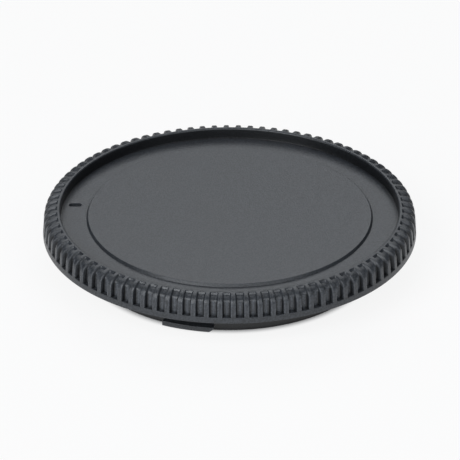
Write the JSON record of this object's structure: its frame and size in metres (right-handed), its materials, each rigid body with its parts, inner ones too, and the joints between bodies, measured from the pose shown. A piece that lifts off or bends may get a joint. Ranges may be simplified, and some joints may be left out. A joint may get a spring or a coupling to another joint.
{
  "type": "camera body cap",
  "caption": "Round ribbed lid with a recessed face, a hollow collar and bayonet lugs that closes a camera's lens mount.",
  "frame": {"origin": "centre of the flange underside, the plane that seats on the mount ring", "axes": "+Z out of the face, along the axis of the cap; the collar and lugs point along -Z; the index mark lies 8 degrees off -X, towards +Y"},
  "size_m": [0.062, 0.062, 0.0099],
  "materials": {
    "body": "matte black moulded plastic with a fine grain"
  },
  "bodies": {
    "root": {"body_cap": "body"}
  },
  "joints": []
}
